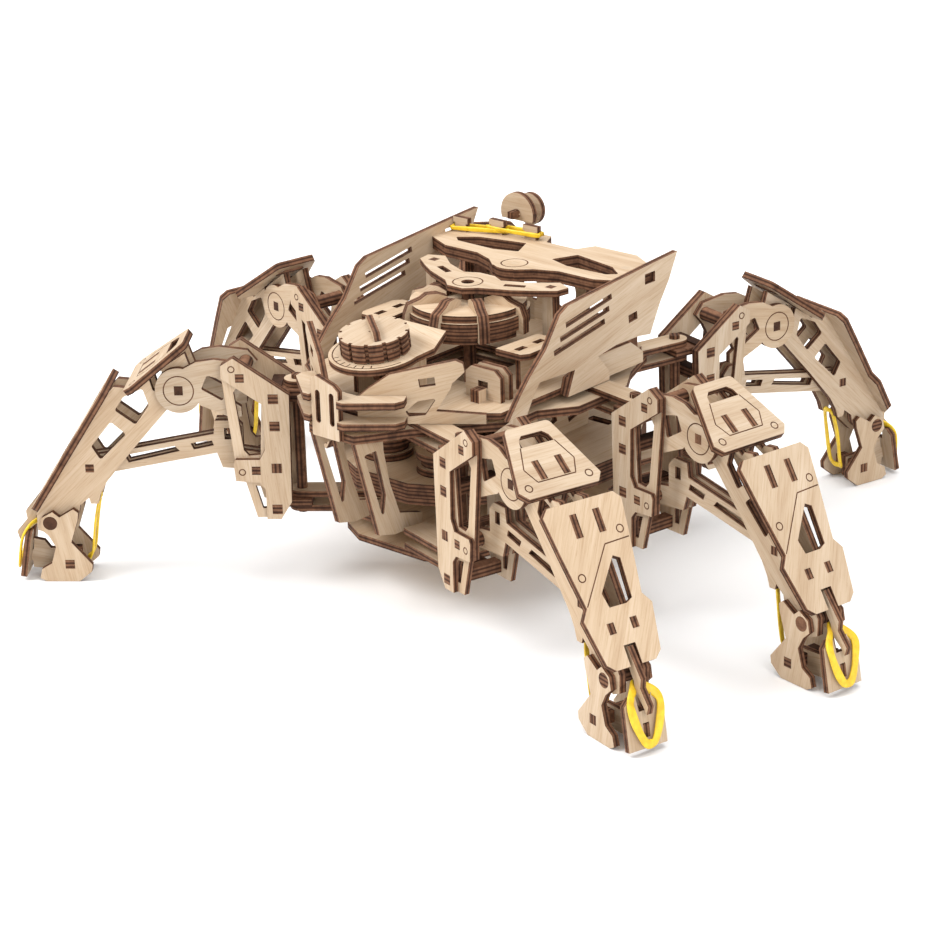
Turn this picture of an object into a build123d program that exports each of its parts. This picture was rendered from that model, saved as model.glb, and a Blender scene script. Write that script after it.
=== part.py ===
"""Hexapod spider robot kit: laser-cut plywood body on six jointed legs.

Leg frame: X runs outward from the hip bracket, Y across the leg, Z up.
Body frame: X to the robot's left and right, nose toward -Y, Z up, feet on Z = 0.
"""
import os
from math import cos, sin, radians, atan2, degrees, hypot
from build123d import *

# ---------------------------------------------------------------- dimensions
PLY = 2.6            # plywood of most leg and body pieces
PLY_BRACKET = 2.2    # each of the two bracket layers
PLY_ARMOUR = 3.0     # armour plates and the shin sides
GROOVE = 0.5         # engraved line width
GROOVE_DEEP = 0.35   # engraved line depth
TENON = 4.2          # square tenon side

BRACKET_OUT = 14.0   # half width of the bracket over its outer faces
BRACKET_MID = BRACKET_OUT - PLY_BRACKET
BRACKET_IN = BRACKET_MID - PLY_BRACKET
FEMUR_OUT = 9.4
FEMUR_IN = FEMUR_OUT - PLY
SHIN_OUT = 6.6
SHIN_IN = SHIN_OUT - PLY_ARMOUR
LINK_OUT = 3.4
LINK_IN = LINK_OUT - PLY

PIVOT_R = 2.9        # wooden pivot rods
PIVOT_GAP = 0.1      # running clearance on the radius

KNEE = (39.3, 84.0)
FEMUR_PIVOT = (13.4, 90.8)
LINK_PIVOT = (8.7, 50.9)
SHIN_LINK = (78.8, 49.3)
ANKLE = (96.6, 26.0)
HIP_AXIS = -8.0      # vertical swing axis, inboard of the bracket
HIP_PIN_R = 2.2

# hip position and outward heading of every leg
HIPS = {
    "fl": (-55.0, -47.5, 217.9),
    "fr": (58.5, -56.0, 345.0),
    "ml": (-86.0, 25.5, 170.0),
    "mr": (83.5, 20.5, 349.5),
    "rl": (-66.0, 98.0, 132.0),
    "rr": (46.0, 96.0, 75.0),
}

DRUM_AXIS = (0.0, 9.0)
DRUM_R = 25.0
DRUM_TOP = 116.0
DRUM_LAYERS = 4
KNOB_POS = (0.0, -46.0, 109.0)
KNOB_R = 14.0
DIAL_TILT = 7.0
DECK_TOP = 86.2
WING_X = 54.0
HIGH_LAYER = 80.0          # underside of the upper hip deck
LOW_LAYER = 32.1           # underside of the low hip deck
LAYER = 3.6                # thickness of the two hip decks
BOTTOM_Z = 22.0            # underside of the hull
SHAFT_R = 2.6              # radius of the drum and knob shafts
RIB = 4.4                  # width of the drum ribs
REAR_Z = 121.0             # underside of the upper rear board
NOSE_Y = -76.0             # front face of the prow
ARM_REACH = {"fl": 34.0, "fr": 36.0, "ml": 36.0, "mr": 34.0, "rl": 40.0, "rr": 30.0}
BAND_PEGS = [(-48.0, 60.0), (-33.0, 66.0), (-16.0, 68.0)]
KNEE_SLOPE = 36.87         # fall of the knee armour, degrees
SHIN_SLOPE = 57.4          # fall of the shin armour, degrees
KNEE_ARMOUR = ((41.0, 101.2), (cos(radians(KNEE_SLOPE)), -sin(radians(KNEE_SLOPE))))
SHIN_ARMOUR = ((76.4, 75.7), (cos(radians(SHIN_SLOPE)), -sin(radians(SHIN_SLOPE))))

CENTRE = (-1.332, 41.484)   # middle of the standing robot in plan, put at the origin

NODES = {}


# ------------------------------------------------------------------ helpers
def flat(points, radius=0.0):
    """Closed 2-D face from corner points, corners rounded when asked."""
    face = make_face(Polyline(*points, close=True))
    if radius:
        face = fillet(face.vertices(), radius)
    return face


def box_face(center, width, height, turn=0.0):
    return Pos(center[0], center[1]) * Rot(0, 0, turn) * Rectangle(width, height)


def ring_face(center, radius):
    inner = Circle(radius - GROOVE)
    return Pos(center[0], center[1]) * (Circle(radius) - inner)


def line_face(start, end, width=GROOVE):
    """Thin strip between two points, used for engraved lines."""
    length = hypot(end[0] - start[0], end[1] - start[1])
    turn = degrees(atan2(end[1] - start[1], end[0] - start[0]))
    middle = ((start[0] + end[0]) / 2, (start[1] + end[1]) / 2)
    return box_face(middle, length, width, turn)


def board(face, thick=PLY, cuts=(), marks=()):
    """Flat board from z = 0 to thick; marks are engraved in the top face."""
    for cut in cuts:
        face = face - cut
    body = extrude(face, thick)
    for mark in marks:
        body = body - Pos(0, 0, thick - GROOVE_DEEP) * extrude(mark, thick)
    return body


def standing(face, low, thick=PLY, cuts=(), marks=(), side=1):
    """Board standing in the leg plane, outer face at +Y or -Y (side)."""
    body = board(face, thick, cuts, marks)
    if side > 0:
        body = Rot(90, 0, 0) * mirror(body, Plane.XY)
        return Pos(0, low, 0) * body
    return Pos(0, -low, 0) * Rot(90, 0, 0) * body


def pair(face, low, thick=PLY, cuts=(), marks=()):
    """Two mirrored boards, one on each side of the leg."""
    return [standing(face, low, thick, cuts, marks, side) for side in (1, -1)]


def cross_bar(at, half, side=TENON):
    """Square bar lying across the leg."""
    return Pos(at[0], 0, at[1]) * Box(side, 2 * half, side)


def pivot_rod(at, round_half, full_half, radius=PIVOT_R, side=3.6):
    """Round pivot rod with square ends for the plates that hold it."""
    rod = Rot(90, 0, 0) * Cylinder(radius, 2 * round_half)
    end = full_half - round_half
    for k in (1, -1):
        rod = rod + Pos(0, k * (round_half + end / 2), 0) * Box(side, end, side)
    return Pos(at[0], 0, at[1]) * rod


def merge(*parts):
    total = parts[0]
    for item in parts[1:]:
        total = total + item
    return total


def leg_place(name):
    x, y, heading = HIPS[name]
    return Pos(x, y, 0) * Rot(0, 0, heading)


def add(name, solids):
    shapes = []
    for item in solids:
        shapes.extend(item.solids())
    NODES[name] = Compound(label=name, children=shapes)


# --------------------------------------------------------------- leg pieces
def bracket_parts():
    """Hip bracket: two double side plates, square bars and hinge knuckles."""
    squares = [(0.3, 81.8), (0.2, 70.1), (0.2, 51.9), (0.8, 33.9)]
    rods = [FEMUR_PIVOT, LINK_PIVOT]
    outer = flat([(-6.2, 83.4), (15.8, 99.2), (21.0, 96.0), (21.0, 90.6), (5.0, 79.6),
                  (4.6, 60.0), (7.0, 55.6), (17.0, 55.6), (17.8, 53.8), (17.2, 46.4),
                  (7.6, 45.6), (5.2, 42.6), (5.2, 29.6), (-0.6, 29.6), (-5.2, 37.0)])
    inner = flat([(-6.2, 83.4), (15.8, 99.2), (21.0, 96.0), (21.0, 89.0), (17.4, 53.8),
                  (17.2, 46.4), (13.4, 45.0), (9.4, 29.6), (-0.6, 29.6), (-5.2, 37.0)])
    window = flat([(5.4, 80.0), (14.6, 86.8), (16.6, 84.0), (13.6, 59.0), (11.6, 56.6), (6.8, 57.0)])
    low_window = flat([(5.8, 43.0), (9.6, 43.6), (7.0, 33.6), (4.6, 33.6), (4.6, 40.0)])
    holes = [box_face(at, TENON, TENON) for at in squares]
    holes += [box_face(at, 3.6, 3.6) for at in rods]
    circles = [ring_face((16.6, 94.6), 1.5), ring_face((14.4, 50.2), 1.5)]
    out = pair(outer, BRACKET_MID, PLY_BRACKET, holes, circles)
    out += pair(inner, BRACKET_IN, PLY_BRACKET, holes + [window, low_window])
    plates_in = BRACKET_IN
    for at in squares[1:3]:
        out.append(merge(cross_bar(at, BRACKET_OUT), cross_bar(at, plates_in, 4.8)))
    out.append(pivot_rod(FEMUR_PIVOT, plates_in, BRACKET_OUT))
    out.append(pivot_rod(LINK_PIVOT, plates_in, BRACKET_OUT))
    # hinge knuckles around the vertical hip pin
    for at in (squares[0], squares[3]):
        length = at[0] + TENON / 2 - (HIP_AXIS - 4.6)
        knuckle = Pos(HIP_AXIS - 4.6 + length / 2, 0, at[1]) * Box(length, 15.0, 3.0)
        knuckle = merge(knuckle, cross_bar(at, BRACKET_OUT), cross_bar(at, plates_in, 4.8))
        knuckle = knuckle - Pos(HIP_AXIS, 0, at[1]) * Cylinder(HIP_PIN_R + PIVOT_GAP, 9.0)
        out.append(knuckle)
    return out


def femur_parts():
    """Thigh: two forked plates with round knee ends and a knee rod."""
    head = Pos(*KNEE) * Circle(9.6)
    arms = flat([(37.0, 93.3), (31.6, 96.2), (24.2, 97.2), (12.6, 95.6), (8.9, 90.8), (12.6, 86.4),
                 (16.4, 78.6), (14.0, 77.0), (14.0, 73.0), (17.0, 71.8), (30.6, 77.6), (36.0, 84.0)])
    window = flat([(19.4, 88.4), (27.4, 90.4), (30.0, 84.6), (21.4, 79.4)], 0.8)
    hole = Pos(*FEMUR_PIVOT) * Circle(PIVOT_R + PIVOT_GAP)
    square = box_face(KNEE, 3.6, 4.0)
    ring = ring_face(KNEE, 6.4)
    out = pair(head + arms, FEMUR_IN, PLY, [window, hole, square], [ring])
    rod = Rot(90, 0, 0) * Cylinder(PIVOT_R, 2 * FEMUR_IN)
    rod = rod + Box(3.6, 2 * FEMUR_OUT, 4.0)
    out.append(Pos(KNEE[0], 0, KNEE[1]) * rod)
    return out


def shin_side_face():
    head = Pos(*KNEE) * Circle(8.0)
    blade = flat([(33.2, 89.0), (36.4, 99.0), (59.0, 84.0), (66.4, 84.8), (70.6, 80.2), (102.6, 30.2),
                  (102.4, 22.0), (98.6, 20.4), (92.4, 21.4), (84.8, 29.0), (84.0, 33.0), (80.0, 36.2),
                  (79.4, 33.6), (76.4, 33.6), (75.0, 38.0), (72.0, 43.4), (60.4, 57.4), (43.6, 76.4)])
    return head + blade


def shin_parts():
    """Shin: two long side plates, knee, link and ankle rods, and the spur."""
    win_knee = flat([(45.6, 92.0), (52.0, 89.6), (50.0, 82.0), (46.6, 86.4)], 0.8)
    win_one = flat([(54.6, 84.0), (62.6, 80.4), (66.6, 74.6), (58.4, 68.4), (52.4, 76.6)], 1.0)
    win_two = flat([(68.6, 69.6), (77.4, 59.0), (74.0, 53.0), (62.6, 64.2)], 1.0)
    ring = [Pos(*KNEE) * Circle(PIVOT_R + PIVOT_GAP)]
    holes = [box_face(SHIN_LINK, 3.6, 3.6), box_face(ANKLE, 3.6, 3.6)]
    face = shin_side_face()
    # tabs that pass through the armour slots
    knee_tab = Pos(*armour_point(KNEE_ARMOUR, 14.0, -PLY_ARMOUR / 2)) * Rot(0, 0, -KNEE_SLOPE)
    shin_tab = Pos(*armour_point(SHIN_ARMOUR, -2.7, -PLY_ARMOUR / 2)) * Rot(0, 0, -SHIN_SLOPE)
    low_tab = Pos(*armour_point(SHIN_ARMOUR, 36.4, -PLY_ARMOUR / 2)) * Rot(0, 0, -SHIN_SLOPE)
    face = face - armour_band()
    face = face + knee_tab * Rectangle(8.4, PLY_ARMOUR + 0.2)
    face = face + shin_tab * Rectangle(9.0, PLY_ARMOUR + 0.2)
    face = face + low_tab * Rectangle(4.2, PLY_ARMOUR + 0.2)
    out = pair(face, SHIN_IN, PLY_ARMOUR, ring + holes + [win_knee, win_one, win_two])
    out.append(pivot_rod(SHIN_LINK, SHIN_IN, SHIN_OUT, 1.8, 3.6))
    ankle_rod = Rot(90, 0, 0) * Cylinder(PIVOT_R, 2 * FEMUR_OUT)
    ankle_rod = ankle_rod - Pos(0, SHIN_OUT - PLY_ARMOUR / 2, 0) * Box(9, PLY_ARMOUR, 9)
    ankle_rod = ankle_rod - Pos(0, PLY_ARMOUR / 2 - SHIN_OUT, 0) * Box(9, PLY_ARMOUR, 9)
    ankle_rod = ankle_rod + Box(3.6, 2 * SHIN_OUT, 3.6)
    out.append(Pos(ANKLE[0], 0, ANKLE[1]) * ankle_rod)
    # upright spur in the bottom slot of the armour, with its cross key
    spur = flat([(100.1, 38.4), (108.2, 28.4), (107.8, 24.6), (112.6, 19.0), (111.6, 15.6),
                 (109.8, 18.0), (104.6, 22.4), (104.0, 26.2), (97.4, 36.4)])
    out.append(standing(spur, -1.3, PLY))
    return out


def armour_point(frame, along, height):
    """Leg-plane point at a distance along an armour plate and above it."""
    (u, z), (tu, tz) = frame
    return (u + tu * along - tz * height, z + tz * along + tu * height)


def armour_band():
    """Room taken by the armour plates, cut out of the shin sides."""
    band = None
    for frame, start, end in ((KNEE_ARMOUR, -8.0, 27.0), (SHIN_ARMOUR, -13.0, 54.0)):
        low = armour_point(frame, start, -PLY_ARMOUR)
        low_end = armour_point(frame, end, -PLY_ARMOUR)
        top_end = armour_point(frame, end, 14.0)
        top = armour_point(frame, start, 14.0)
        strip = flat([low, low_end, top_end, top])
        band = strip if band is None else band + strip
    return band


def armour_plate(frame, outline, cuts, marks):
    """Armour board: its own X runs down the leg, its outer face looks out."""
    (u, z), (tu, tz) = frame
    body = Pos(0, 0, -PLY_ARMOUR) * board(outline, PLY_ARMOUR, cuts, marks)
    plane = Plane(origin=(u, 0, z), x_dir=(tu, 0, tz), z_dir=(-tz, 0, tu))
    return plane * body


def armour_parts():
    slot_y = (SHIN_IN + SHIN_OUT) / 2
    knee_face = flat([(-5.6, -9.8), (-5.6, 9.8), (21.2, 18.2), (24.8, 15.4), (24.8, -15.4), (21.2, -18.2)])
    knee_face = fillet(knee_face.vertices().sort_by(Axis.X)[:2], 2.4)
    knee_cuts = [box_face((14.0, slot_y * k), 8.4, PLY_ARMOUR) for k in (1, -1)]
    knee_cuts.append(flat([(-1.6, -4.6), (-1.6, 4.6), (0.4, 6.6), (3.4, 7.4), (3.4, -7.4), (0.4, -6.6)]))
    knee_marks = [ring_face((20.4, 13.4 * k), 1.7) for k in (1, -1)]
    for k in (1, -1):
        knee_marks.append(line_face((3.4, 7.6 * k), (12.6, 11.2 * k)))
        knee_marks.append(line_face((12.6, 11.2 * k), (18.8, 8.4 * k)))
    knee_marks.append(line_face((18.8, -8.4), (18.8, 8.4)))
    knee = armour_plate(KNEE_ARMOUR, knee_face, knee_cuts, knee_marks)
    shin_face = flat([(-11.6, -14.6), (-11.6, 14.6), (-8.6, 17.4), (6.2, 15.4), (27.0, 12.2), (31.2, 15.2),
                      (48.6, 12.0), (51.4, 8.8), (51.4, -8.8), (48.6, -12.0), (31.2, -15.2), (27.0, -12.2),
                      (6.2, -15.4), (-8.6, -17.4)])
    shin_cuts = [box_face((-2.7, slot_y * k), 9.0, PLY_ARMOUR) for k in (1, -1)]
    shin_cuts += [box_face((36.4, slot_y * k), 4.2, PLY_ARMOUR) for k in (1, -1)]
    shin_cuts.append(flat([(11.0, 5.6), (12.6, 8.4), (27.6, 7.6), (29.0, 4.6), (28.9, -3.0), (23.3, -4.2)]))
    shin_cuts.append(box_face((48.4, 0), 10.0, 5.2))
    shin_marks = [ring_face((2.3, 12.4), 1.7), ring_face((16.0, -10.0), 1.7)]
    shin_marks.append(line_face((5.9, 15.0), (6.3, 4.0)))
    shin_marks.append(line_face((6.3, 4.0), (26.6, -11.8)))
    shin = armour_plate(SHIN_ARMOUR, shin_face, shin_cuts, shin_marks)
    return [knee, shin]


def link_parts():
    """Lower link: two slotted bars with raised hook heads at the bracket."""
    bar = flat([(7.2, 46.9), (24.0, 48.4), (26.0, 54.8), (66.0, 47.2), (79.0, 44.9), (82.6, 46.4),
                (83.4, 50.0), (80.2, 53.6), (66.6, 55.6), (27.0, 63.0), (26.2, 68.8), (18.6, 68.8),
                (15.6, 65.4), (15.6, 56.0), (10.0, 55.1), (6.0, 54.2), (4.6, 50.9)])
    notch = flat([(19.4, 60.6), (19.4, 65.6), (22.6, 65.6), (22.6, 60.6)])
    hole = Pos(*LINK_PIVOT) * Circle(PIVOT_R + PIVOT_GAP)
    long_slot = flat([(41.4, 55.6), (43.4, 57.8), (64.6, 53.8), (63.0, 50.6)])
    short_slot = flat([(27.2, 58.0), (28.0, 60.6), (36.8, 58.9), (35.6, 56.2)])
    pin_slot = Pos(*SHIN_LINK) * (Circle(2.2) + Rectangle(3.4, 4.4))
    pin_slot = pin_slot + Pos(SHIN_LINK[0] + 1.7, SHIN_LINK[1]) * Circle(2.2)
    pin_slot = pin_slot + Pos(SHIN_LINK[0] - 1.7, SHIN_LINK[1]) * Circle(2.2)
    bars = pair(bar, LINK_IN, PLY, [notch, hole, long_slot, short_slot, pin_slot])
    spacer = [Pos(21.0, 0, 52.8) * Box(4.0, 2 * LINK_IN, 4.0)]
    return bars + spacer


def foot_parts():
    """Foot: two sole plates, a cross bar and the sloping toe plate."""
    side = flat([(84.6, 30.6), (86.6, 32.2), (92.6, 28.6), (95.4, 31.0), (100.0, 28.4), (101.0, 23.6),
                 (97.6, 20.4), (95.0, 15.4), (97.2, 8.0), (101.6, 5.4), (102.6, 1.4), (100.0, 0.0),
                 (86.0, 0.0), (80.6, 4.4), (80.2, 7.4), (88.4, 17.4), (85.0, 27.4)])
    hole = Pos(*ANKLE) * Circle(PIVOT_R + PIVOT_GAP)
    sole_hole = box_face((89.6, 7.6), 4.0, 4.0)
    out = pair(side, FEMUR_IN, PLY, [hole, sole_hole])
    out.append(merge(cross_bar((89.6, 7.6), FEMUR_OUT, 4.0), cross_bar((89.6, 7.6), FEMUR_IN, 4.8)))
    # toe plate leans outward and is carried by a narrow keel
    toe_face = flat([(-8.6, 1.0), (8.6, 1.0), (8.6, 18.4), (6.0, 21.0), (3.4, 21.0), (2.4, 15.2),
                     (-2.4, 15.2), (-3.4, 21.0), (-6.0, 21.0), (-8.6, 18.4)])
    toe_plane = Plane(origin=(108.6, 0, 0.6), x_dir=(0, 1, 0), z_dir=(0.9848, 0, 0.1736))
    keel_slot = box_face((0, 8.0), PLY, 5.0)
    toe = toe_plane * board(toe_face, PLY, [keel_slot])
    keel = flat([(86.0, 2.0), (91.6, 2.0), (106.8, 3.0), (107.0, 6.0), (110.4, 6.0), (109.6, 11.0),
                 (106.3, 11.0), (105.8, 16.0), (101.4, 15.0), (99.0, 11.6), (86.0, 11.0)])
    bar_slot = box_face((89.6, 7.6), 4.8, 4.8)
    out.append(toe)
    out.append(standing(keel, -PLY / 2, PLY, [bar_slot]))
    return out


def band_parts():
    """Rubber bands: front loop over the toe plate, rear loop at the hook."""
    front = Pos(110.5, 0, 10.0) * Rot(0, -10, 0) * Box(1.0, 6.0, 14.0)
    rear = Pos(79.2, 0, 21.6) * Rot(0, 12, 0) * Box(1.0, 4.0, 20.0)
    return [front, rear]


def build_leg(name):
    place = leg_place(name)
    pieces = {
        "bracket": bracket_parts(),
        "femur": femur_parts(),
        "shin": shin_parts(),
        "armour": armour_parts(),
        "link": link_parts(),
        "foot": foot_parts(),
        "bands": band_parts(),
    }
    for kind, solids in pieces.items():
        add(f"{name}_{kind}", [place * solid for solid in solids])


# -------------------------------------------------------------- body pieces
def level(points, bottom, thick=PLY, cuts=(), marks=(), radius=0.0):
    """Horizontal board whose underside is at the given height."""
    return Pos(0, 0, bottom) * board(flat(points, radius), thick, cuts, marks)


def mirrored(points):
    """Complete a left-right symmetric outline from its right half."""
    return list(points) + [(-x, y) for x, y in reversed(points)]


def upright(start, end, outline, thick=PLY, cuts=(), marks=()):
    """Standing board from start toward end; outline is (along, height)."""
    heading = degrees(atan2(end[1] - start[1], end[0] - start[0]))
    body = Rot(90, 0, 0) * board(flat(outline), thick, cuts, marks)
    return Pos(start[0], start[1], 0) * Rot(0, 0, heading) * body


def hull_decks():
    """Stacked horizontal decks that carry the hips and the drive."""
    bottom = mirrored([(18.0, -42.0), (31.0, -35.0), (38.0, -10.0), (36.0, 30.0), (30.0, 66.0), (18.0, 78.0)])
    lower = mirrored([(14.0, -46.0), (30.0, -38.0), (46.0, -18.0), (60.0, 4.0), (62.0, 34.0),
                      (50.0, 58.0), (40.0, 74.0), (22.0, 82.0)])
    upper = mirrored([(12.0, -73.2), (17.0, -66.0), (24.0, -54.0), (36.0, -40.0), (50.0, -24.0),
                      (50.0, -8.0), (60.0, 6.0), (60.0, 36.0), (51.0, 50.0), (42.0, 72.0), (22.0, 78.0)])
    top = mirrored([(6.0, -62.0), (20.0, -51.5), (42.0, -35.5), (50.0, -29.5), (50.0, 44.0),
                    (44.0, 66.0), (22.0, 74.0)])
    well = Pos(*DRUM_AXIS) * Rectangle(34.0, 40.0)
    slot = [Pos(k * 30.0, 56.0) * Rectangle(12.0, 5.0) for k in (1, -1)]
    shaft = Pos(*DRUM_AXIS) * Circle(SHAFT_R + PIVOT_GAP)
    add("deck_bottom", [level(bottom, BOTTOM_Z, 3.0, [shaft]),
                        level(bottom, LOW_LAYER, LAYER, [well])])
    laminate = [level(lower, 47.0 + 3.0 * i, 3.0, [well] + slot) for i in range(3)]
    for k in (1, -1):
        for i, radius in enumerate((10.5, 8.6, 10.5)):
            disc = board(Circle(radius), 3.0, [Rectangle(3.0, 3.0)], [Circle(6.4) - Circle(5.9)])
            laminate.append(Pos(k * 15.0, -26.0, 56.0 + 3.0 * i) * disc)
    add("deck_lower", laminate)
    add("deck_upper", [level(upper, HIGH_LAYER, LAYER, [well] + slot)])
    add("deck_top", [level(top, DECK_TOP, PLY, [well] + slot)])


def hull_walls():
    """Side walls between the decks, front struts and guards by the drum."""
    walls = []
    for k in (1, -1):
        start = k * 27.0 - PLY / 2
        low = [(x, z + LOW_LAYER + LAYER) for x, z in [(0, 0), (0, 11.3), (54, 11.3), (54, 0)]]
        cuts = [Pos(9 + 18 * i, 41.4) * Rectangle(12, 5.0) for i in range(3)]
        walls.append(upright((start, -4.0), (start, 50.0), low, PLY, cuts))
        mid = [(x, z + 56.0) for x, z in [(0, 0), (0, 24.0), (54, 24.0), (54, 0)]]
        cuts = [Pos(9 + 18 * i, 68.0) * Rot(0, 0, 15) * Rectangle(11, 13) for i in range(3)]
        walls.append(upright((start, -4.0), (start, 50.0), mid, PLY, cuts))
        base = [(x, z + BOTTOM_Z + 3.0) for x, z in [(0, 0), (0, 7.1), (52, 7.1), (52, 0)]]
        walls.append(upright((start, -4.0), (start, 48.0), base))
        # raked strut from the nose down to the low deck
        foot_z = LOW_LAYER + LAYER
        strut = [(-72.5, HIGH_LAYER), (-57.0, HIGH_LAYER), (-57.0, 73.0), (-54.0, 58.0), (-49.0, 44.0),
                 (-36.0, 40.0), (-36.0, foot_z), (-52.0, foot_z), (-61.0, 38.0)]
        long_cut = flat([(-68.0, 74.0), (-61.0, 74.0), (-56.5, 54.0), (-58.5, 44.0)], 0.8)
        strut_x = k * 11.0 - PLY / 2
        walls.append(upright((strut_x, 0.0), (strut_x, 10.0), strut, PLY, [long_cut]))
        # guards beside the drum: two upright boards and a slotted shelf
        floor = DECK_TOP + PLY
        guard = [(0, floor), (0, 99.0), (3.0, 101.6), (15.0, 101.6), (18.0, 99.0), (18.0, floor)]
        for y in (-19.0, -14.0):
            near = min(k * 25.0, k * 43.0)
            walls.append(upright((near, y), (near + 10.0, y), guard, PLY, [Pos(9.0, 95.0) * Rectangle(5, 2.6)]))
        walls.append(Pos(k * 34.0, -24.5, floor + 2.6) * Box(4.4, 4.4, 5.2))
        shelf_z = 103.0
        shelf = [(30.0, -9.0), (43.0, -9.0), (45.0, -6.0), (45.0, 12.0), (42.0, 15.0), (31.5, 15.0)]
        shelf = [(k * x, y) for x, y in shelf]
        cuts = [Pos(k * 38.0, y) * Rectangle(3.0, 5.4) for y in (-3.0, 8.0)]
        walls.append(level(shelf, shelf_z, PLY, cuts))
        post = [(0, floor), (0, shelf_z), (16.0, shelf_z), (16.0, floor)]
        walls.append(upright((k * 38.0 - PLY / 2, -5.0), (k * 38.0 - PLY / 2, 5.0), post))
    add("hull_walls", walls)


def hip_arms():
    """Boards above and below each hinge knuckle, and the vertical pins."""
    arms = []
    pins = []
    levels = [HIGH_LAYER + LAYER, HIGH_LAYER - PLY, LOW_LAYER + LAYER, LOW_LAYER - PLY]
    for name, (x, y, heading) in HIPS.items():
        place = leg_place(name)
        reach = ARM_REACH[name]
        blade = Pos(HIP_AXIS - reach / 2, 0) * Rectangle(reach, 10.4)
        blade = blade + Pos(HIP_AXIS, 0) * Circle(5.2)
        hole = Pos(HIP_AXIS, 0) * Circle(HIP_PIN_R)
        for z in levels:
            arms.append(place * Pos(0, 0, z) * board(blade, PLY, [hole]))
        low = levels[3] - 1.6
        high = levels[0] + PLY + 1.6
        pin = Pos(HIP_AXIS, 0, (low + high) / 2) * Cylinder(HIP_PIN_R, high - low)
        pins.append(place * pin)
    add("hip_arms", arms)
    add("hip_pins", pins)


def nose():
    """Prow: centre plate, two raked side panels and stacked bumper boards."""
    start = (7.5, -65.0)
    end = (56.0, -29.0)
    low = HIGH_LAYER + LAYER + PLY + 0.2
    outline = [(0.0, low), (0.0, 97.0), (3.9, 100.4), (12.9, 106.6), (38.7, 112.3), (41.5, 111.0),
               (42.1, 107.7), (37.1, 103.0), (36.6, 101.0), (30.6, 91.6), (50.0, 90.2), (50.0, low)]
    cuts = [Pos(27.4, 103.5) * Rot(0, 0, 8) * Rectangle(6.4, 3.4),
            flat([(18.6, 91.4), (23.6, 95.8), (31.0, 97.0), (26.4, 90.0), (20.0, 89.4)], 0.6)]
    panel = upright(start, end, outline, PLY, cuts)
    plate = [(-7.2, 81.0), (-7.2, 104.0), (-4.6, 106.0), (4.6, 103.4), (7.2, 101.4), (7.2, 81.0)]
    slots = [Pos(k * 3.7, 93.4) * SlotOverall(13.6, 2.6, rotation=90) for k in (1, -1)]
    centre = upright((0.0, NOSE_Y + PLY), (10.0, NOSE_Y + PLY), plate, PLY, slots)
    add("nose_panels", [panel, mirror(panel, Plane.YZ), centre])
    inner = NOSE_Y + PLY + 0.1
    right = [(7.4, inner), (7.4, NOSE_Y - 1.2), (10.5, NOSE_Y - 1.2), (26.6, -64.6), (27.6, -60.4),
             (24.7, -55.7), (9.1, -67.3)]
    add("nose_bars", [level(mirrored(right), z, PLY_ARMOUR) for z in (low, 95.0)])


def wing_outline():
    return [(-31.0, DECK_TOP + 0.4), (-24.0, 95.0), (-17.9, 101.3), (-7.9, 109.9), (0.8, 121.8), (6.0, 124.4),
            (60.0, 128.4), (75.7, 129.4), (70.0, 118.6), (64.1, 110.4), (57.6, 98.6), (50.0, 99.8),
            (35.5, 100.0), (24.0, 98.4), (31.0, DECK_TOP + 4.0), (31.0, DECK_TOP + 0.4),
            (5.0, DECK_TOP + 0.4), (9.4, 96.7), (-12.0, 97.6), (-16.0, 93.0), (-20.0, DECK_TOP + 0.4)]


def wings():
    """Swept side wings with three long slots and two tenon windows."""
    for name, k in (("wing_right", 1), ("wing_left", -1)):
        cuts = []
        for y, z, length in ((18.6, 119.0, 29.0), (16.0, 114.2, 31.0), (12.6, 109.5, 32.0)):
            cuts.append(Pos(y, z) * Rot(0, 0, 9) * Rectangle(length, 2.4))
        cuts.append(Pos(57.6, 122.6) * Rectangle(6.6, 4.4))
        cuts.append(Pos(46.4, 108.9) * Rot(0, 0, 6) * Rectangle(5.6, 3.4))
        low = k * WING_X - PLY / 2
        wing = upright((low, 0.0), (low, 10.0), wing_outline(), PLY, cuts)
        foot = [(6.0, DECK_TOP + 0.4), (8.0, DECK_TOP + 7.0), (26.0, DECK_TOP + 11.0),
                (48.0, DECK_TOP + 11.0), (56.0, DECK_TOP + 5.0), (56.0, DECK_TOP + 0.4)]
        inner = k * (WING_X - PLY) - PLY / 2
        rib = upright((inner, 0.0), (inner, 10.0), foot, PLY)
        add(name, [wing, rib])


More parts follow.
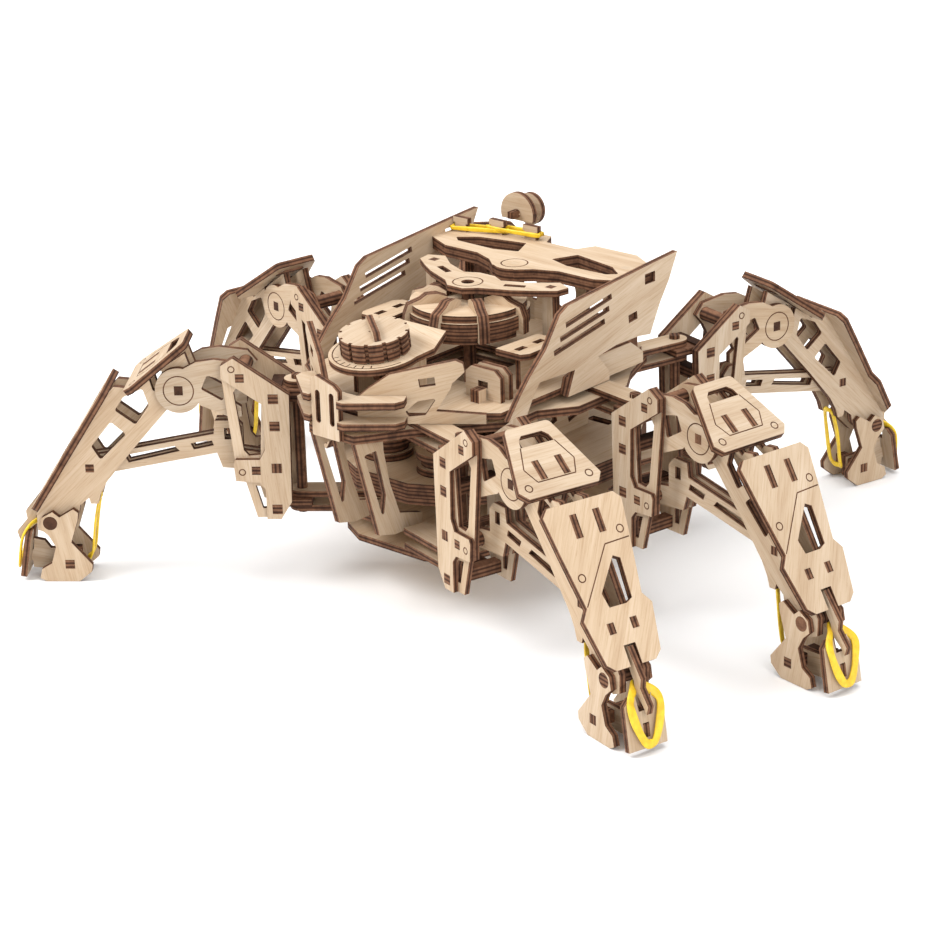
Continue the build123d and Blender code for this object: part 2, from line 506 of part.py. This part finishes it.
def drum():
    """Wind-up drum: stacked discs with eight radial ribs on an axle."""
    rib_angles = [45.0 * i + 10.0 for i in range(8)]
    disc = Circle(DRUM_R)
    slots = [Rot(0, 0, a) * Pos(DRUM_R - 1.4, 0) * Rectangle(4.0, RIB) for a in rib_angles]
    hole = [Rectangle(4.4, 4.4)]
    base = DRUM_TOP - 3.0 * DRUM_LAYERS
    solids = []
    for i in range(DRUM_LAYERS):
        radius = DRUM_R if i % 3 else DRUM_R - 1.2
        solids.append(Pos(0, 0, base + 3.0 * i) * board(Circle(radius), 3.0, slots + hole))
    rib_outline = [(9.0, DRUM_TOP), (9.0, DRUM_TOP + 2.2), (13.0, DRUM_TOP + 3.8), (17.5, DRUM_TOP + 3.8),
                   (20.2, DRUM_TOP + 2.0), (25.4, DRUM_TOP + 0.2), (27.0, DRUM_TOP - 4.0), (27.0, base + 1.0),
                   (DRUM_R - 3.4, base + 1.0), (DRUM_R - 3.4, DRUM_TOP)]
    for angle in rib_angles:
        rib = Pos(0, RIB / 2, 0) * Rot(90, 0, 0) * extrude(flat(rib_outline), RIB)
        solids.append(Rot(0, 0, angle) * rib)
    axle = Pos(0, 0, (base + DRUM_TOP) / 2) * Box(4.4, 4.4, DRUM_TOP - base)
    top_pin = Pos(0, 0, DRUM_TOP + 2.6) * Cylinder(SHAFT_R, 5.2)
    low_pin = Pos(0, 0, (base + BOTTOM_Z) / 2) * Cylinder(SHAFT_R, base - BOTTOM_Z)
    solids.append(merge(axle, top_pin, low_pin))
    for i, radius in enumerate((14.0, 15.5, 12.0, 15.5)):
        gear = Circle(radius)
        teeth = [Rot(0, 0, 20.0 * t) * Pos(radius, 0) * Rectangle(2.6, 2.2) for t in range(18)]
        face = gear
        for tooth in teeth:
            face = face + tooth
        solids.append(Pos(0, 0, 47.5 + 6.2 * i) * board(face, PLY, [Circle(SHAFT_R)]))
    add("winding_drum", [Pos(DRUM_AXIS[0], DRUM_AXIS[1], 0) * item for item in solids])


def bridges():
    """Three-armed bridge over the drum and the wide bridge behind it."""
    x0, y0 = DRUM_AXIS
    level_z = DRUM_TOP + 4.4
    right = [(4.0, -8.0), (9.0, -3.6), (22.0, 2.0), (30.0, 7.0), (37.0, 12.0), (38.0, 18.0),
             (31.0, 21.0), (22.0, 14.0), (10.0, 9.0), (4.0, 12.0)]
    face = flat([(x0 + x, y0 + y) for x, y in mirrored(right)])
    hole = Pos(x0, y0) * Circle(SHAFT_R + PIVOT_GAP)
    windows = [Pos(x0 + k * 19.0, y0 + 7.0) * Rot(0, 0, k * 24) * Rectangle(9.0, 2.8) for k in (1, -1)]
    squares = [Pos(x0 + k * 31.5, y0 + 14.6) * Rectangle(3.6, 3.6) for k in (1, -1)]
    arc = Pos(x0, y0) * (Circle(6.4) - Circle(5.8))
    solids = [Pos(0, 0, level_z) * board(face, PLY, [hole] + windows + squares, [arc])]
    for k in (1, -1):
        height = level_z - (DECK_TOP + PLY)
        post = Pos(x0 + k * 31.5, y0 + 14.6, DECK_TOP + PLY + height / 2) * Box(5.4, 4.6, height)
        tip = Pos(x0 + k * 31.5, y0 + 14.6, level_z + PLY / 2) * Box(3.6, 3.6, PLY)
        solids.append(post + tip)
    add("drum_bridge", solids)
    z = REAR_Z
    edge = WING_X - PLY / 2
    rear = [(6.0, 31.0), (12.0, 36.0), (22.0, 40.0), (40.0, 40.0), (edge, 46.0), (edge, 66.0),
            (44.0, 70.0), (34.0, 76.0), (12.0, 76.0), (8.0, 68.0)]
    face = flat(mirrored(rear))
    face = face + Pos(0, 38.0) * Circle(8.6)
    window = [(9.0, 51.0), (20.0, 47.5), (40.0, 48.0), (44.0, 51.4), (36.0, 57.4), (14.0, 62.0)]
    windows = [flat([(k * x, y) for x, y in window], 0.8) for k in (1, -1)]
    squares = [Pos(k * 41.0, 60.0) * Rectangle(3.6, 3.6) for k in (1, -1)]
    squares.append(Pos(0, 38.0) * Rectangle(3.4, 3.4))
    arc = Pos(0, 38.0) * (Circle(5.8) - Circle(5.2))
    solids = [Pos(0, 0, z) * board(face, PLY, windows + squares, [arc])]
    solids.append(Pos(0, 0, z - PLY) * board(face, PLY, windows))
    for k in (1, -1):
        height = z - PLY - (DECK_TOP + PLY)
        post = Pos(k * 41.0, 60.0, DECK_TOP + PLY + height / 2) * Box(5.0, 8.0, height)
        solids.append(post)
        solids.append(Pos(k * 41.0, 60.0, z + PLY / 2) * Box(3.6, 3.6, PLY))
    solids.append(Pos(0, 38.0, z + PLY / 2) * Box(3.4, 3.4, PLY))
    peg = Box(6.0, PLY, 6.0) + Pos(0, 0, 1.8) * Box(8.0, PLY, 2.4)
    for x, y in BAND_PEGS:
        solids.append(Pos(x, y, z + PLY + 3.0) * peg)
    # back board under the rear edge
    low, high = DECK_TOP + PLY, z - PLY
    back = [(-29.0, low), (-29.0, high), (29.0, high), (29.0, low)]
    cuts = [Pos(x, 104.0) * Rectangle(9.0, 14.0) for x in (-18.0, 18.0)]
    cuts.append(Pos(0, 104.0) * Circle(8.0))
    solids.append(upright((0.0, 70.0), (10.0, 70.0), back, PLY, cuts))
    add("rear_bridge", solids)
    bands = []
    for (ax, ay), (bx, by) in zip(BAND_PEGS[:-1], BAND_PEGS[1:]):
        strip = line_face((ax + 3.0, ay - 2.6), (bx - 3.0, by - 3.4), 1.2)
        bands.append(Pos(0, 0, z + PLY + 1.0) * extrude(strip, 2.4))
    add("rear_band", bands)


def crank():
    """Release crank at the back: a half-round handle and disc on a shaft."""
    x, y = -34.0, 82.0
    z = REAR_Z + 8.0
    half = Circle(9.0) & Pos(0, 4.0) * Rectangle(20.0, 14.0)
    handle = Pos(x, y, z) * Rot(90, 0, 0) * board(half, PLY, [Rectangle(3.0, 3.0)])
    disc = Pos(x, y + 8.0, z) * Rot(90, 0, 0) * board(Circle(7.0), PLY, [Rectangle(3.0, 3.0)])
    shaft = Pos(x, y + 1.0, z) * Rot(90, 0, 0) * (Cylinder(1.9, 9.0) + Box(3.0, 3.0, 16.0))
    add("rear_crank", [handle, disc, shaft])


def dial():
    """Front dial: tilted teardrop plate, lever and notched speed knob."""
    place = Pos(*KNOB_POS) * Rot(DIAL_TILT, 0, 0)
    plate = Circle(19.0)
    tail = [(-18.6, 2.0), (18.6, 2.0), (20.0, 12.0), (13.0, 27.0), (-13.0, 27.0), (-20.0, 12.0)]
    plate = plate + flat(tail)
    arc_slot = (Circle(18.0) - Circle(15.6)) & Pos(-15.0, 2.0) * Rectangle(12.0, 11.0)
    hole = Circle(SHAFT_R + PIVOT_GAP)
    marks = [(Circle(17.6) - Circle(17.1)) & Pos(0, -14.0) * Rectangle(50, 20)]
    marks += [Rot(0, 0, 12.0 * i) * Pos(0, -16.0) * Rectangle(0.5, 2.2) for i in range(-3, 4)]
    base = place * Pos(0, 0, -PLY) * board(plate, PLY, [hole, arc_slot], marks)
    solids = [base]
    x0, y0, z0 = KNOB_POS
    floor = DECK_TOP + PLY
    for k in (1, -1):
        leg = [(-9.0, floor), (-9.0, z0 - PLY - 1.5), (3.0, z0 - PLY), (3.0, floor)]
        solids.append(upright((x0 + k * 13.0, y0 + 9.0), (x0 + k * 13.0, y0 + 19.0), leg))
    add("dial_plate", solids)
    notches = [Rot(0, 0, 30.0 * i) * Pos(KNOB_R, 0) * Rectangle(2.4, 1.6) for i in range(12)]
    face = Circle(KNOB_R)
    for notch in notches:
        face = face - notch
    knob = [place * Pos(0, 0, 0.4 + 4.0 * i) * board(face, 3.8, [Rectangle(3.0, 3.0)]) for i in range(2)]
    fin = Pos(0, PLY / 2, 0) * Rot(90, 0, 0) * extrude(flat([(-11, 8.4), (-9, 11.4), (9, 11.4), (11, 8.4)]), PLY)
    knob.append(place * Rot(0, 0, -38) * fin)
    axle = Pos(0, 0, -6.0) * Cylinder(SHAFT_R, 12.0) + Pos(0, 0, 4.1) * Box(3.0, 3.0, 8.2)
    knob.append(place * axle)
    add("speed_knob", knob)


for leg in HIPS:
    build_leg(leg)
hull_decks()
hull_walls()
hip_arms()
nose()
wings()
drum()
bridges()
crank()
dial()

os.makedirs("parts", exist_ok=True)
for node, shape in NODES.items():
    export_step(Pos(-CENTRE[0], -CENTRE[1], 0) * shape, f"parts/{node}.step")
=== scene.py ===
import math
import random

import bpy
import numpy as np
from mathutils import Matrix, Vector


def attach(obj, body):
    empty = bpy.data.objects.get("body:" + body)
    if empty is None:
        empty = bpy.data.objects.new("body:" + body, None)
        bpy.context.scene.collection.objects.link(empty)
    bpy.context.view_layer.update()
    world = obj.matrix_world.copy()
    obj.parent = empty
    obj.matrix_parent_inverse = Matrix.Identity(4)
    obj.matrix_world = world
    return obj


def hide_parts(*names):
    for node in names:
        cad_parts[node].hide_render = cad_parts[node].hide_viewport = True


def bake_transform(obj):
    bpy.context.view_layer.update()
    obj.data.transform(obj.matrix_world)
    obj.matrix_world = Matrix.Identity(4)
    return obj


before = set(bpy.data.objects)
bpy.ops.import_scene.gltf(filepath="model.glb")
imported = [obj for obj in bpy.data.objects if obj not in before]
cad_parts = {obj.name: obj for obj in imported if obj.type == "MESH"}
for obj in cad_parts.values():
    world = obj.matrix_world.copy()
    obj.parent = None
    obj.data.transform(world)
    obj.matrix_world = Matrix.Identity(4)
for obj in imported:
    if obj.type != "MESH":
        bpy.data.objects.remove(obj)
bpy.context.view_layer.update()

random.seed(7)
MM = 0.001
BOARD_MAX = 4.6 * MM     # a solid thicker than this has no veneer face, only cut edge
PLY_LAYER = 0.87 * MM
FACE_DEPTH = 0.05 * MM   # how far from a board's surface a face may lie
FACE_COS = 0.99          # how squarely a face looks along the board's normal
SAME_COS = 0.9995        # normals closer than this are one direction
LARGEST_FACES = 12       # faces tried as the flat direction of a board
WELD_STEPS = 2e6         # steps in a metre: points within half a micron are one


# ---------------------------------------------------------------- materials
def new_material(name):
    mat = bpy.data.materials.new(name)
    mat.use_nodes = True
    tree = mat.node_tree
    tree.nodes.clear()
    out = tree.nodes.new("ShaderNodeOutputMaterial")
    bsdf = tree.nodes.new("ShaderNodeBsdfPrincipled")
    tree.links.new(bsdf.outputs["BSDF"], out.inputs["Surface"])
    return mat, tree, bsdf


def attribute(tree, name):
    node = tree.nodes.new("ShaderNodeAttribute")
    node.attribute_name = name
    return node.outputs["Vector"]


def noise(tree, vector, stretch, detail, rough, distort=0.0):
    """Noise over a vector that is stretched by three factors."""
    stretched = tree.nodes.new("ShaderNodeVectorMath")
    stretched.operation = "MULTIPLY"
    stretched.inputs[1].default_value = stretch
    tree.links.new(vector, stretched.inputs[0])
    node = tree.nodes.new("ShaderNodeTexNoise")
    node.inputs["Scale"].default_value = 1.0
    node.inputs["Detail"].default_value = detail
    node.inputs["Roughness"].default_value = rough
    node.inputs["Distortion"].default_value = distort
    tree.links.new(stretched.outputs["Vector"], node.inputs["Vector"])
    return node.outputs["Fac"]


def ramp(tree, fac, stops):
    node = tree.nodes.new("ShaderNodeValToRGB")
    elements = node.color_ramp.elements
    while len(elements) < len(stops):
        elements.new(0.5)
    for element, (pos, color) in zip(elements, stops):
        element.position = pos
        element.color = (*color, 1.0)
    tree.links.new(fac, node.inputs["Fac"])
    return node.outputs["Color"]


def multiply(tree, amount, a, b):
    """Color a multiplied by color b."""
    node = tree.nodes.new("ShaderNodeMix")
    node.data_type = "RGBA"
    node.blend_type = "MULTIPLY"
    node.inputs[0].default_value = amount
    tree.links.new(a, node.inputs[6])
    tree.links.new(b, node.inputs[7])
    return node.outputs[2]


def math_node(tree, operation, a, b=0.5):
    """Operation on a socket and, where it takes two, a number or a socket."""
    node = tree.nodes.new("ShaderNodeMath")
    node.operation = operation
    tree.links.new(a, node.inputs[0])
    if isinstance(b, float):
        node.inputs[1].default_value = b
    else:
        tree.links.new(b, node.inputs[1])
    return node.outputs[0]


def bump(tree, bsdf, height, strength, distance):
    node = tree.nodes.new("ShaderNodeBump")
    node.inputs["Strength"].default_value = strength
    node.inputs["Distance"].default_value = distance
    tree.links.new(height, node.inputs["Height"])
    tree.links.new(node.outputs["Normal"], bsdf.inputs["Normal"])


def face_material():
    """Pale birch veneer: long fine grain, faint figure and small flecks."""
    mat, tree, bsdf = new_material("birch_face")
    ply = attribute(tree, "ply")
    tone = attribute(tree, "tone")
    fine = noise(tree, ply, (60.0, 1500.0, 60.0), 5.0, 0.65)
    broad = noise(tree, ply, (14.0, 160.0, 14.0), 3.0, 0.55, 0.8)
    fleck = noise(tree, ply, (260.0, 2600.0, 260.0), 2.0, 0.5)
    base = ramp(tree, broad, [(0.30, (0.44, 0.315, 0.205)), (0.52, (0.51, 0.385, 0.265)),
                              (0.72, (0.56, 0.44, 0.32))])
    grain = ramp(tree, fine, [(0.34, (0.80, 0.72, 0.62)), (0.52, (1.0, 1.0, 1.0))])
    color = multiply(tree, 0.75, base, grain)
    dots = ramp(tree, fleck, [(0.24, (0.66, 0.52, 0.38)), (0.33, (1.0, 1.0, 1.0))])
    color = multiply(tree, 0.5, color, dots)
    color = multiply(tree, 1.0, color, tone)
    tree.links.new(color, bsdf.inputs["Base Color"])
    bsdf.inputs["Roughness"].default_value = 0.62
    bsdf.inputs["Specular IOR Level"].default_value = 0.3
    bump(tree, bsdf, fine, 0.12, 0.0002)
    return mat


def edge_material():
    """Laser-burnt cut edge: charred brown with the ply layers showing."""
    mat, tree, bsdf = new_material("burnt_edge")
    ply = attribute(tree, "ply")
    split = tree.nodes.new("ShaderNodeSeparateXYZ")
    tree.links.new(ply, split.inputs[0])
    wobble = noise(tree, ply, (90.0, 90.0, 400.0), 3.0, 0.6)
    depth = math_node(tree, "MULTIPLY", split.outputs["Z"], 1.0 / PLY_LAYER)
    depth = math_node(tree, "ADD", depth, math_node(tree, "MULTIPLY", wobble, 0.35))
    wave = math_node(tree, "SINE", math_node(tree, "MULTIPLY", depth, math.pi))
    wave = math_node(tree, "MULTIPLY", math_node(tree, "ADD", wave, 1.0), 0.5)
    layers = ramp(tree, wave, [(0.10, (0.045, 0.020, 0.011)), (0.42, (0.105, 0.048, 0.027)),
                               (0.80, (0.180, 0.092, 0.054))])
    burn = noise(tree, ply, (320.0, 320.0, 120.0), 4.0, 0.7)
    char = ramp(tree, burn, [(0.32, (0.42, 0.36, 0.34)), (0.60, (1.15, 1.08, 1.0))])
    color = multiply(tree, 0.85, layers, char)
    tree.links.new(color, bsdf.inputs["Base Color"])
    bsdf.inputs["Roughness"].default_value = 0.78
    bsdf.inputs["Specular IOR Level"].default_value = 0.2
    bump(tree, bsdf, burn, 0.25, 0.0003)
    return mat


def rubber_material():
    """Yellow rubber, a little uneven in tone."""
    mat, tree, bsdf = new_material("yellow_rubber")
    coord = tree.nodes.new("ShaderNodeTexCoord").outputs["Object"]
    fac = noise(tree, coord, (300.0, 300.0, 300.0), 3.0, 0.6)
    color = ramp(tree, fac, [(0.3, (0.62, 0.38, 0.012)), (0.6, (0.80, 0.55, 0.02))])
    tree.links.new(color, bsdf.inputs["Base Color"])
    bsdf.inputs["Roughness"].default_value = 0.45
    bsdf.inputs["Subsurface Weight"].default_value = 0.1
    bsdf.inputs["Subsurface Radius"].default_value = (0.002, 0.001, 0.0003)
    return mat


FACE = face_material()
EDGE = edge_material()
RUBBER = rubber_material()


# ------------------------------------------------- face or edge, board by board
def split_boards(coords, polys):
    """Number of the separate solid that every polygon belongs to.

    The polygons of one solid come one after the other, so a solid ends
    where every edge has met its partner.
    """
    key = np.round(coords * WELD_STEPS).astype(np.int64)
    _, weld = np.unique(key, axis=0, return_inverse=True)
    weld = weld.reshape(-1)
    open_edges = {}
    ids = np.zeros(len(polys), dtype=np.int32)
    board = 0
    for i, poly in enumerate(polys):
        ids[i] = board
        ring = [weld[v] for v in poly]
        for a, b in zip(ring, ring[1:] + ring[:1]):
            if a == b:
                continue
            if open_edges.get((b, a), 0) > 0:
                open_edges[(b, a)] -= 1
                if open_edges[(b, a)] == 0:
                    del open_edges[(b, a)]
            else:
                open_edges[(a, b)] = open_edges.get((a, b), 0) + 1
        if not open_edges:
            board += 1
    return ids


def flat_direction(normals, areas):
    """Normal direction that most of the area faces."""
    best = (0.0, normals[0])
    left = np.ones(len(areas), dtype=bool)
    for k in np.argsort(-areas)[:LARGEST_FACES]:
        if not left[k]:
            continue
        same = np.abs(normals @ normals[k]) > SAME_COS
        left &= ~same
        if areas[same].sum() > best[0]:
            best = (areas[same].sum(), normals[k])
    return best[1]


def dress_board(obj, node_name):
    """Material index and grain attributes for every board of a node."""
    mesh = obj.data
    count = len(mesh.vertices)
    coords = np.empty(count * 3)
    mesh.vertices.foreach_get("co", coords)
    coords = coords.reshape(-1, 3)
    polys = [tuple(p.vertices) for p in mesh.polygons]
    normals = np.array([tuple(p.normal) for p in mesh.polygons])
    areas = np.array([p.area for p in mesh.polygons])
    centers = np.array([tuple(p.center) for p in mesh.polygons])
    ids = split_boards(coords, polys)
    index = np.ones(len(polys), dtype=np.int32)
    ply = np.zeros((count, 3))
    tone = np.ones((count, 3))
    rng = np.random.default_rng(sum(map(ord, node_name)))
    for board in np.unique(ids):
        sel = np.nonzero(ids == board)[0]
        verts = np.array(sorted({v for k in sel for v in polys[k]}))
        points = coords[verts]
        n = flat_direction(normals[sel], areas[sel])
        low = (points @ n).min()
        thick = (points @ n).max() - low
        flat = points - np.outer(points @ n, n)
        _, vec = np.linalg.eigh(np.cov((flat - flat.mean(axis=0)).T))
        grain = vec[:, 2]
        across = np.cross(n, grain)
        offset = rng.uniform(0, 0.5, 3)
        ply[verts] = np.stack([points @ grain + offset[0], points @ across + offset[1],
                               points @ n - low], axis=1)
        shade = rng.uniform(0.90, 1.04)
        warm = rng.uniform(-0.02, 0.02)
        tone[verts] = (shade + warm, shade, shade - 1.5 * warm)
        if thick < BOARD_MAX:
            depth = centers[sel] @ n - low
            outer = (depth < FACE_DEPTH) | (depth > thick - FACE_DEPTH)
            outer &= np.abs(normals[sel] @ n) > FACE_COS
            index[sel[outer]] = 0
    mesh.materials.clear()
    mesh.materials.append(FACE)
    mesh.materials.append(EDGE)
    mesh.polygons.foreach_set("material_index", index)
    for name, data in (("ply", ply), ("tone", tone)):
        layer = mesh.attributes.new(name, "FLOAT_VECTOR", "POINT")
        layer.data.foreach_set("vector", data.reshape(-1))


for node_name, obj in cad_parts.items():
    if not node_name.endswith("bands") and node_name != "rear_band":
        dress_board(obj, node_name)


# ------------------------------------------------------------- rubber bands
CENTRE = (-1.332, 41.484)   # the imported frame's origin in the part's own frame, in mm
CURVE_STEPS = 7
RING_POINTS = 10
CORNER_POWER = 0.6          # rounds the band's section between box and ellipse
SWELL, SWELLS = 0.10, 5.0   # how much, and how often, a band grows wider on its way round
ROUND = 6.283
PHASE_MAX = 6.28
HIPS = {                    # hip pin x and y in mm, and heading of the leg in degrees
    "fl": (-55.0, -47.5, 217.9),
    "fr": (58.5, -56.0, 345.0),
    "ml": (-86.0, 25.5, 170.0),
    "mr": (83.5, 20.5, 349.5),
    "rl": (-66.0, 98.0, 132.0),
    "rr": (46.0, 96.0, 75.0),
}


def leg_point(name, u, v, z):
    """Point of a leg frame, in mm, as a point of the object in metres."""
    x, y, heading = HIPS[name]
    c, s = math.cos(math.radians(heading)), math.sin(math.radians(heading))
    return Vector((x + u * c - v * s - CENTRE[0], y + u * s + v * c - CENTRE[1], z)) * MM


def leg_turn(name, u, v, z):
    """Direction in a leg frame as a direction of the object."""
    return leg_point(name, u, v, z) - leg_point(name, 0, 0, 0)


def smooth_loop(points):
    """Closed Catmull-Rom curve through the points."""
    out = []
    count = len(points)
    for i in range(count):
        p0, p1, p2, p3 = (points[(i + k) % count] for k in (-1, 0, 1, 2))
        for j in range(CURVE_STEPS):
            t = j / CURVE_STEPS
            out.append(0.5 * (2 * p1 + (p2 - p0) * t + (2 * p0 - 5 * p1 + 4 * p2 - p3) * t * t
                              + (3 * p1 - p0 - 3 * p2 + p3) * t ** 3))
    return out


def band_loop(name, points, outward, wide, thin):
    """Flat elastic loop; outward is the direction its broad side faces."""
    path = smooth_loop(points)
    count = len(path)
    verts, faces = [], []
    phase = random.uniform(0, PHASE_MAX)
    for i, p in enumerate(path):
        along = (path[(i + 1) % count] - path[i - 1]).normalized()
        side = along.cross(outward).normalized()
        lift = side.cross(along).normalized()
        swell = 1.0 + SWELL * math.sin(SWELLS * i / count * ROUND + phase)
        for k in range(RING_POINTS):
            a = 2 * math.pi * k / RING_POINTS
            c, s = math.cos(a), math.sin(a)
            x = math.copysign(abs(c) ** CORNER_POWER, c) * wide * swell
            y = math.copysign(abs(s) ** CORNER_POWER, s) * thin
            verts.append(p + side * x + lift * y)
    for i in range(count):
        for k in range(RING_POINTS):
            here, ahead = i * RING_POINTS, (i + 1) % count * RING_POINTS
            after = (k + 1) % RING_POINTS
            faces.append((here + k, here + after, ahead + after, ahead + k))
    mesh = bpy.data.meshes.new(name)
    mesh.from_pydata([tuple(v) for v in verts], [], faces)
    mesh.polygons.foreach_set("use_smooth", [True] * len(faces))
    mesh.materials.append(RUBBER)
    mesh.update()
    band = bpy.data.objects.new(name, mesh)
    bpy.context.scene.collection.objects.link(band)
    return band


# Half of each loop in the leg frame, in mm, from its upper end to its lower end.
TOE_BAND = [(102.4, 0, 24.6), (105.6, 3.0, 23.4), (108.2, 6.0, 20.6), (109.8, 6.4, 17.0),
            (111.2, 4.8, 10.6), (112.3, 2.4, 5.4), (112.6, 0, 4.2)]
HEEL_BAND = [(76.0, 0, 35.4), (76.8, 2.6, 33.8), (78.8, 3.6, 24.0), (80.6, 3.4, 12.0),
             (82.2, 2.4, 8.2), (83.4, 0, 7.4)]
TOE_WIDE, TOE_THIN = 1.7 * MM, 0.55 * MM
HEEL_WIDE, HEEL_THIN = 1.0 * MM, 0.5 * MM
REAR_WIDE, REAR_THIN = 0.95 * MM, 0.5 * MM


def both_sides(points):
    """Full loop from its half: first and last points lie on the middle."""
    return points + [(u, -v, z) for u, v, z in points[-2:0:-1]]


for leg in HIPS:
    toe = band_loop(f"{leg}_toe_band", [leg_point(leg, *p) for p in both_sides(TOE_BAND)],
                    leg_turn(leg, 0.98, 0, 0.17), TOE_WIDE, TOE_THIN)
    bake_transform(toe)
    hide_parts(f"{leg}_bands")
    heel = band_loop(f"{leg}_heel_band", [leg_point(leg, *p) for p in both_sides(HEEL_BAND)],
                     leg_turn(leg, -1.0, 0, 0.1), HEEL_WIDE, HEEL_THIN)
    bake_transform(heel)
    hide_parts(f"{leg}_bands")

# The rear loops run from peg to peg, the second a little above the first. All in mm.
BAND_PEGS = [(-48.0, 60.0), (-33.0, 66.0), (-16.0, 68.0)]
LOOP_HEIGHT, LOOP_STEP = 125.2, 0.9
LOOP_END, LOOP_CORNER, LOOP_HALF = 3.8, 2.6, 2.1
for i, (first, second) in enumerate(zip(BAND_PEGS[:-1], BAND_PEGS[1:])):
    height = LOOP_HEIGHT + LOOP_STEP * i
    a, b = (Vector((x - CENTRE[0], y - CENTRE[1], height)) * MM for x, y in (first, second))
    run = (b - a).normalized()
    off = Vector((-run.y, run.x, 0)) * LOOP_HALF * MM
    end, corner = run * LOOP_END * MM, run * LOOP_CORNER * MM
    ends = [a - end, a - corner + off, b + corner + off, b + end, b + corner - off, a - corner - off]
    loop = band_loop(f"rear_band_loop_{i + 1}", ends, Vector((0, 0, 1)).cross(run) + Vector((0, 0, 0.01)),
                     REAR_WIDE, REAR_THIN)
    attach(loop, "chassis")
    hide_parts("rear_band")


# ------------------------------------------------------------ stage and light
FLOOR_HALF = 4.0
FLOOR_DROP = 0.2 * MM    # keeps the floor off the soles
LIGHT_AIM = (0, 0, 0.05)


def add_floor():
    mesh = bpy.data.meshes.new("floor")
    s = FLOOR_HALF
    mesh.from_pydata([(-s, -s, 0), (s, -s, 0), (s, s, 0), (-s, s, 0)], [], [(0, 1, 2, 3)])
    floor = bpy.data.objects.new("floor", mesh)
    bpy.context.scene.collection.objects.link(floor)
    mat, _, bsdf = new_material("floor_white")
    bsdf.inputs["Base Color"].default_value = (0.93, 0.93, 0.93, 1.0)
    bsdf.inputs["Roughness"].default_value = 0.9
    bsdf.inputs["Specular IOR Level"].default_value = 0.0
    mesh.materials.append(mat)
    floor.location.z = -FLOOR_DROP


def add_area(name, place, size, power):
    data = bpy.data.lights.new(name, "AREA")
    data.shape = "DISK"
    data.size = size
    data.energy = power
    lamp = bpy.data.objects.new(name, data)
    bpy.context.scene.collection.objects.link(lamp)
    lamp.location = place
    aim = Vector(LIGHT_AIM) - Vector(place)
    lamp.rotation_euler = aim.to_track_quat("-Z", "Y").to_euler()


add_floor()
add_area("key", (-0.9, -1.1, 1.5), 1.1, 34.0)
add_area("fill", (1.5, -0.8, 0.9), 1.2, 15.0)
add_area("top", (0.1, 0.3, 1.8), 1.6, 18.0)

world = bpy.data.worlds.new("studio")
bpy.context.scene.world = world
world.use_nodes = True
background = world.node_tree.nodes["Background"]
background.inputs["Color"].default_value = (1.0, 1.0, 1.0, 1.0)
background.inputs["Strength"].default_value = 0.72
bpy.context.scene.view_settings.view_transform = "Standard"


# -------------------------------------------------------------------- camera
AZIMUTH, ELEVATION, ROLL = 42.11, 21.28, -1.73
FIT_SCALE = 0.9          # the camera was fitted to a model larger by one part in nine
DISTANCE = 1336.21 * FIT_SCALE * MM
TARGET = Vector((5.9 * FIT_SCALE - CENTRE[0], -0.45 * FIT_SCALE - CENTRE[1], 51.66 * FIT_SCALE)) * MM
LENS_PIXELS = 2931.44
PICTURE = 935.0
SENSOR = 36.0

az, el, roll = (math.radians(a) for a in (AZIMUTH, ELEVATION, ROLL))
back = Vector((math.sin(az) * math.cos(el), -math.cos(az) * math.cos(el), math.sin(el)))
right = Vector((math.cos(az), math.sin(az), 0.0))
up = back.cross(right)
camera_right = math.cos(roll) * right + math.sin(roll) * up
camera_up = -math.sin(roll) * right + math.cos(roll) * up
cam_data = bpy.data.cameras.new("camera")
cam_data.sensor_width = SENSOR
cam_data.lens = LENS_PIXELS * SENSOR / PICTURE
cam_data.clip_end = 20.0
camera = bpy.data.objects.new("camera", cam_data)
bpy.context.scene.collection.objects.link(camera)
turn = Matrix((camera_right, camera_up, back)).transposed().to_4x4()
camera.matrix_world = Matrix.Translation(TARGET + back * DISTANCE) @ turn
bpy.context.scene.camera = camera
